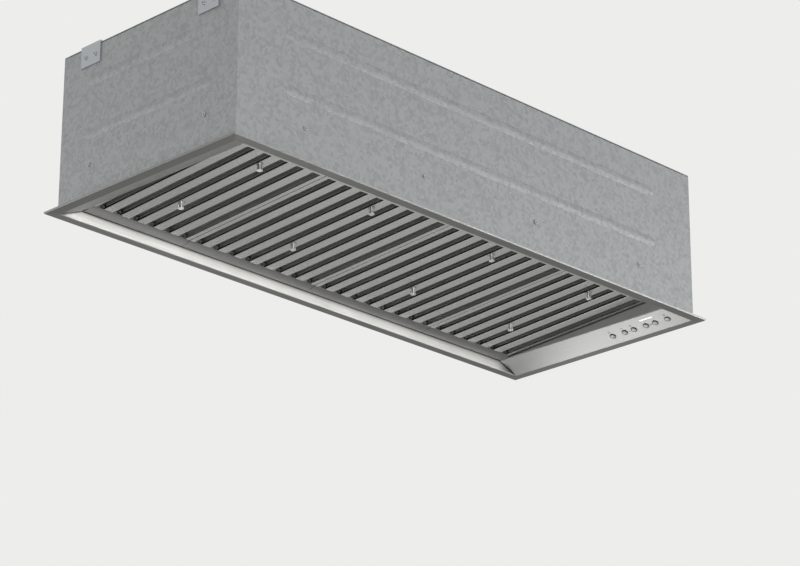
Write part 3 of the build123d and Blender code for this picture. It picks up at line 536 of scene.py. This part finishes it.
def finish_of(node):
    """The finish that a CAD node takes."""
    table = {
        "front_trim": "steel_along_x", "rear_trim": "steel_along_x",
        "left_trim": "steel_along_y", "control_fascia": "fascia", "filter_clips": "spring",
        "button_housing": "black", "control_board": "board", "indicator_lens": "window",
        "control_unit": "black", "lamp_housing": "aluminium", "lamp_board": "led_board",
        "lamp_lens": "opal", "lamp_driver": "driver", "blower_scroll": "scroll",
        "blower_side_plates": "scroll", "impeller": "wheel", "motor": "motor",
        "motor_shaft": "shaft", "motor_bracket": "fixing", "blower_screws": "fixing",
        "casing_screws": "fixing", "hanging_brackets": "fixing", "damper_pin": "shaft",
        "damper_flap_front": "damper", "damper_flap_rear": "damper", "duct_collar": "casing",
        "terminal_box": "casing", "cable_gland": "nylon", "wiring": "lead",
    }
    endings = {
        "_frame": "frame", "_gutter": "gutter", "_outer_baffles": "baffle",
        "_inner_baffles": "inner_baffle", "_pegs": "chrome",
    }
    if node in table:
        return table[node]
    for ending, finish in endings.items():
        if node.endswith(ending):
            return finish
    return "button" if node.startswith("button_") else "casing"


class HOOD_OT_finishes(bpy.types.Operator):
    """Makes the finishes and gives one to each part of the hood"""
    bl_idname = "hood.finishes"
    bl_label = "Finishes"

    def execute(self, context):
        make_finishes(context.scene.hood_finishes)
        for name, part in NODES.items():
            for slot in part.material_slots:
                slot.material = FINISH[finish_of(name)]
        return {"FINISHED"}


# Screws


def screw_heads():
    """Centres and outward normals of the casing's screw heads, from the parts' boxes."""
    low, high = (np.array(v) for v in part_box("casing_screws"))
    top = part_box("casing_top")[1].z
    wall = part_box("casing_right")[1].x + HEAD_HEIGHT
    row_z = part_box("front_trim")[1].z - ROW_BELOW_TRIM_TOP
    centres, normals = [], []
    for side, y in ((-1, low[1]), (1, high[1])):
        centres += [(x, y, row_z) for x in LONG_ROW]
        normals += [(0, side, 0)] * len(LONG_ROW)
    for side in (-1, 1):
        centres += [(side * wall, y, row_z) for y in SHORT_ROW]
        normals += [(side, 0, 0)] * len(SHORT_ROW)
        centres += [(side * high[0], y, top - ROW_BELOW_CASING_TOP) for y in BRACKET_ROW]
        normals += [(side, 0, 0)] * len(BRACKET_ROW)
        centres += [(x, side * TOP_ROW_Y, top + HEAD_HEIGHT) for x in LONG_ROW]
        normals += [UP] * len(LONG_ROW)
    return np.array(centres), np.array(normals, float)


class HOOD_OT_screw_recesses(bpy.types.Operator):
    """Lays a dark cross on the head of each screw, painted shade for its cross recess"""
    bl_idname = "hood.screw_recesses"
    bl_label = "Screw recesses"

    def execute(self, context):
        centres, normals = screw_heads()
        # Painted shade: each recess is a flat dark cross laid on the head
        plus = cross(CROSS_ARM, CROSS_HALF)
        profile = slab(SINK, 0.03 * MM)
        points, faces = stamped(centres, normals, plus, profile)
        build("casing_screw_recess_shades", points, faces, "hood", FINISH["recess"])
        low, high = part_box("blower_screws")
        spots = [
            (x, y, high.z) for x in (low.x + HEAD_RADIUS, high.x - HEAD_RADIUS)
            for y in (low.y + HEAD_RADIUS, high.y - HEAD_RADIUS)
        ]
        points, faces = stamped(spots, [UP] * len(spots), plus, profile)
        build("blower_screw_recess_shades", points, faces, "hood", FINISH["recess"])
        return {"FINISHED"}


# Casing


class HOOD_OT_casing_beads(bpy.types.Operator):
    """Presses stiffening beads in the casing's walls and top"""
    bl_idname = "hood.casing_beads"
    bl_label = "Casing beads"

    def execute(self, context):
        half = context.scene.hood_details.bead
        low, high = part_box("casing_front")[0].y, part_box("casing_rear")[1].y
        left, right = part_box("casing_left")[0].x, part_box("casing_right")[1].x
        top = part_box("casing_top")[1].z
        for number, z in enumerate(BEAD_HEIGHTS, 1):
            for wall, y, out in (("front", low, (0, -1, 0)), ("rear", high, (0, 1, 0))):
                ends = (-LONG_BEAD, y, z), (LONG_BEAD, y, z)
                self.bead(f"casing_{wall}_bead_{number}", *ends, out, half)
            for wall, x, out in (("left", left, (-1, 0, 0)), ("right", right, (1, 0, 0))):
                ends = (x, -END_BEAD, z), (x, END_BEAD, z)
                self.bead(f"casing_{wall}_bead_{number}", *ends, out, half)
        for number, x in enumerate(TOP_BEADS_X, 1):
            ends = (x, -TOP_BEAD, top), (x, TOP_BEAD, top)
            self.bead(f"casing_top_bead_{number}", *ends, UP, half)
        return {"FINISHED"}

    def bead(self, name, start, end, out, half):
        """A low ridge from start to end. Across it the height is rise x half x (1 + cos(pi t)) / 2
        for t from -1 to 1, and its ends fade along a quarter circle."""
        start, end, out = (np.array(v, float) for v in (start, end, out))
        along = (end - start) / np.linalg.norm(end - start)
        across = np.cross(along, out)
        t = np.linspace(-1, 1, 13)
        ridge = np.stack([t * half, BEAD_RISE * half * (1 + np.cos(np.pi * t)) / 2], -1)
        ring = np.concatenate([ridge, [[half, -SINK], [-half, -SINK]]])
        turn = np.linspace(0, np.pi / 2, 7)
        first = start + (1 - np.cos(turn))[:, None] * 2 * half * along
        path = np.concatenate([first, (start + end - first)[::-1]])
        size = np.concatenate([np.sin(turn), np.sin(turn)[::-1]])[:, None, None]
        points = path[:, None] + size * (ring[None, :, :1] * across + ring[None, :, 1:] * out)
        faces = quads(len(path), len(ring))
        build(name, points, faces, "hood", FINISH["casing"], smooth=True)


class HOOD_OT_weld_marks(bpy.types.Operator):
    """Adds the spot-weld marks along the casing's edges"""
    bl_idname = "hood.weld_marks"
    bl_label = "Weld marks"

    def execute(self, context):
        outline = circle(context.scene.hood_details.weld, 12)
        # A rim 0.08 mm high round a shallow middle
        dish = np.array([[0.0, -0.2], [1.0, -0.2], [1.0, 0.02], [0.8, 0.08], [0.0, 0.03]]) * [1, MM]
        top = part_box("casing_top")[1].z
        front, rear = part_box("casing_front")[0].y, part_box("casing_rear")[1].y
        centres = [(x, y, z) for x in WELD_COLUMNS for y in (front, rear) for z in WELD_HEIGHTS]
        normals = [(0.0, -1.0 if y == front else 1.0, 0.0) for x, y, z in centres]
        points, faces = stamped(centres, normals, outline, dish)
        build("casing_weld_marks", points, faces, "hood", FINISH["weld"])
        edges = (front + TOP_WELD_INSET, rear - TOP_WELD_INSET)
        centres = [(x, y, top) for x in TOP_WELD_COLUMNS for y in edges]
        points, faces = stamped(centres, [UP] * len(centres), outline, dish)
        build("casing_top_weld_marks", points, faces, "hood", FINISH["weld"])
        return {"FINISHED"}


# Duct and supply


class HOOD_OT_duct_details(bpy.types.Operator):
    """Rolls a bead round the duct spigot and gives the cable gland its hexagon nut"""
    bl_idname = "hood.duct_details"
    bl_label = "Duct and gland details"

    def execute(self, context):
        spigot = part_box("duct_collar")[1].z
        radius, thick, high = DUCT_BEAD_MM
        turn = np.linspace(0, 2 * np.pi, 13)
        bead = np.stack([radius + thick * np.cos(turn), high * np.sin(turn)], -1) * MM
        points, faces = turned(bead, (0, 0, spigot - DUCT_BEAD_DROP), 96)
        build("duct_bead", points, faces, "hood", FINISH["casing"], smooth=True)
        low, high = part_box("cable_gland")
        middle = ((low.x + high.x) / 2, (low.y + high.y) / 2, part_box("casing_top")[1].z)
        # Chamfered at both ends, 8 mm high, and open in the middle, where the gland is
        levels = np.array([
            [0.88, 0.0], [0.93, 0.0], [1.0, 0.6], [1.0, 7.4], [0.93, 8.0], [0.88, 8.0], [0.88, 0.0],
        ]) * [1, MM]
        points, faces = stamped([middle], [UP], circle(NUT_CORNER, 6), levels)
        build("gland_nut_flats", points, faces, "hood", FINISH["nylon"])
        return {"FINISHED"}


# Panel


class HOOD_OT_panel_marks(bpy.types.Operator):
    """Prints plain signs beside the buttons: a ring, a minus, a plus or a dot"""
    bl_idname = "hood.panel_marks"
    bl_label = "Panel marks"

    def execute(self, context):
        size = context.scene.hood_details.mark
        angle = np.arctan2(SLOPE_RISE, SLOPE_RUN)
        slope = np.array([-np.cos(angle), 0, np.sin(angle)])
        out = np.array([[-np.sin(angle), 0, -np.cos(angle)]])
        edge = np.array([SLOPE_EDGE, 0, 0])
        rows = [float(np.array(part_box(f"button_{n}"))[:, 1].mean()) for n in range(1, 7)]
        pairs = [(rows[1] + rows[2]) / 2, (rows[3] + rows[4]) / 2]
        solid = slab(0.05 * MM, 0.02 * MM)
        hollow = np.concatenate([solid, solid[:1]])
        hollow[[0, 3, 4], 0] = RING_HOLE
        bar = size * np.array([[1, STROKE], [-1, STROKE], [-1, -STROKE], [1, -STROKE]])
        signs = {
            "ring": (circle(size, 24), hollow, [(rows[0], SIGN_ROW), (rows[5], SIGN_ROW)]),
            "minus": (bar, solid, [(rows[1], SIGN_ROW)]),
            "plus": (cross(size, STROKE * size), solid, [(rows[2], SIGN_ROW)]),
            "dot": (circle(size * DOT, 16), solid, [(y, BUTTON_ROW) for y in pairs]),
        }
        for name, (outline, profile, spots) in signs.items():
            centres = [edge + up * slope + np.array([0, y, 0]) for y, up in spots]
            points, faces = stamped(centres, np.repeat(out, len(spots), axis=0), outline, profile)
            build(f"panel_{name}_signs", points, faces, "hood", FINISH["print"])
        return {"FINISHED"}


# Stage


def aim(heading, pitch, roll):
    """A camera's turn from its heading from +Y to +X, its pitch up and its roll, in degrees."""
    h, p, r = np.radians([heading, pitch, roll])
    ahead = np.array([np.sin(h) * np.cos(p), np.cos(h) * np.cos(p), np.sin(p)])
    right = np.array([np.cos(h), -np.sin(h), 0])
    up = np.cross(right, ahead)
    across = np.cos(r) * right + np.sin(r) * up
    upright = np.cos(r) * up - np.sin(r) * right
    return Matrix(np.stack([across, upright, -ahead], -1).tolist()).to_4x4()


def softbox(name, spot, target, width, watts, colour=(1, 1, 1), height=None, cone=180):
    """An area lamp at a spot that faces a target, square or a strip of some height. A grid on its
    front can narrow its light to a cone, in degrees."""
    lamp = bpy.data.lights.new(name, "AREA")
    lamp.shape = "RECTANGLE"
    lamp.size, lamp.size_y, lamp.energy, lamp.color = width, height or width, watts, colour
    lamp.spread = np.radians(cone)
    piece = bpy.data.objects.new(name, lamp)
    bpy.context.scene.collection.objects.link(piece)
    away = np.array(spot, float) - np.array(target, float)
    away /= np.linalg.norm(away)
    first, second = axes(away)
    turn = Matrix(np.stack([first[0], second[0], away], -1).tolist()).to_4x4()
    piece.matrix_world = Matrix.Translation(spot) @ turn
    piece.visible_camera = False


class HOOD_OT_stage(bpy.types.Operator):
    """Sets the floor, the soft light and the camera at the photograph's viewing angle"""
    bl_idname = "hood.stage"
    bl_label = "Stage"

    def execute(self, context):
        look = context.scene.hood_stage
        corners = [(-1, -1), (1, -1), (1, 1), (-1, 1)]
        corners = [(x * FLOOR_HALF, y * FLOOR_HALF, -look.drop) for x, y in corners]
        mesh = bpy.data.meshes.new("studio_floor")
        mesh.from_pydata(corners, [], [(0, 1, 2, 3)])
        mesh.materials.append(moulded("painted_studio_floor", look.floor, 0.8, 4.0, depth=0.0))
        floor = bpy.data.objects.new("studio_floor", mesh)
        context.scene.collection.objects.link(floor)
        self.world(context, look)
        self.lamps()
        camera = bpy.data.cameras.new("photo_camera")
        camera.lens, camera.sensor_width, camera.clip_end = CAMERA_LENS, CAMERA_SENSOR, 100.0
        eye = bpy.data.objects.new("photo_camera", camera)
        context.scene.collection.objects.link(eye)
        eye.matrix_world = Matrix.Translation(CAMERA_PLACE) @ aim(*CAMERA_TURN)
        context.scene.camera = eye
        context.scene.view_settings.view_transform = "Standard"
        return {"FINISHED"}

    def lamps(self):
        """Boxes round the hood, two small ones at the panel's end, and the lamp strip's beam."""
        softbox("key_softbox", (-1.75, -2.95, -1.45), (0, 0, 0), 0.8, 72)
        softbox("top_softbox", (-1.5, -2.0, 3.0), (0, 0, 0.2), 3.5, 42)
        softbox("back_softbox", (2.5, 2.5, 2.0), (0, 0, 0.2), 3.5, 60)
        softbox("side_softbox", (2.6, -2.4, -0.35), (0, 0, 0), 1.5, 46)
        softbox("left_softbox", (-2.4, 2.6, -0.35), (0, 0, 0), 1.5, 26)
        softbox("low_softbox", (1.0, 1.15, -1.75), (0.55, 0, 0), 0.6, 2.6)
        softbox(
            "panel_softbox", (0.69, 0.33, -0.43), (0.58, -0.13, 0.01), 0.16, 0.034, height=0.3,
            cone=34)
        softbox(
            "lamp_beam", (0, 0.165, 0.007), (0, 0.22, 0.007), 1.08, 0.72, colour=(1, 0.985, 0.96),
            height=0.010, cone=60)

    def world(self, context, look):
        """An even pale surround, at full strength behind the hood and in the metal, and softer as
        light."""
        world = bpy.data.worlds.new("studio_surround")
        world.use_nodes = True
        tree = world.node_tree
        tree.nodes.clear()
        path = add(tree, "LightPath")
        seen = add(tree, "Math", {"operation": "MAXIMUM"}, {
            0: path.outputs["Is Camera Ray"], 1: path.outputs["Is Transmission Ray"],
        })
        shown = add(tree, "Math", {"operation": "MAXIMUM"}, {
            0: seen.outputs[0], 1: path.outputs["Is Glossy Ray"],
        })
        strength = add(tree, "MapRange", {3: look.fill, 4: 1.0}, {"Value": shown.outputs[0]})
        lit = add(tree, "Background", {"Color": shade(linear("#EDEDEC"), 1)}, {
            "Strength": strength.outputs[0],
        })
        add(tree, "OutputWorld", None, {"Surface": lit.outputs[0]})
        context.scene.world = world


class HOOD_PT_panel(bpy.types.Panel):
    """Lists the hood's settings and the steps that make its finishes, details and stage"""
    bl_idname = "HOOD_PT_panel"
    bl_label = "Hood insert"
    bl_space_type = "VIEW_3D"
    bl_region_type = "UI"
    bl_category = "Hood insert"

    def draw(self, context):
        for group in (getattr(context.scene, name) for name in GROUPS):
            box = self.layout.box()
            for name in group.bl_rna.properties.keys():
                if name not in ("rna_type", "name"):
                    box.prop(group, name)
        for operator in OPERATORS:
            self.layout.operator(operator.bl_idname)


OPERATORS = (
    HOOD_OT_finishes, HOOD_OT_screw_recesses, HOOD_OT_casing_beads, HOOD_OT_weld_marks,
    HOOD_OT_duct_details, HOOD_OT_panel_marks, HOOD_OT_stage,
)
GROUPS = {
    "hood_finishes": HOOD_PG_finishes, "hood_details": HOOD_PG_details,
    "hood_stage": HOOD_PG_stage,
}


def register():
    for kind in (*GROUPS.values(), *OPERATORS, HOOD_PT_panel):
        bpy.utils.register_class(kind)
    for name, group in GROUPS.items():
        setattr(bpy.types.Scene, name, bpy.props.PointerProperty(type=group))


def unregister():
    for name in GROUPS:
        delattr(bpy.types.Scene, name)
    for kind in reversed((*GROUPS.values(), *OPERATORS, HOOD_PT_panel)):
        bpy.utils.unregister_class(kind)


def main():
    register()
    for operator in OPERATORS:
        group, name = operator.bl_idname.split(".")
        getattr(getattr(bpy.ops, group), name)()


if __name__ == "__main__":
    main()
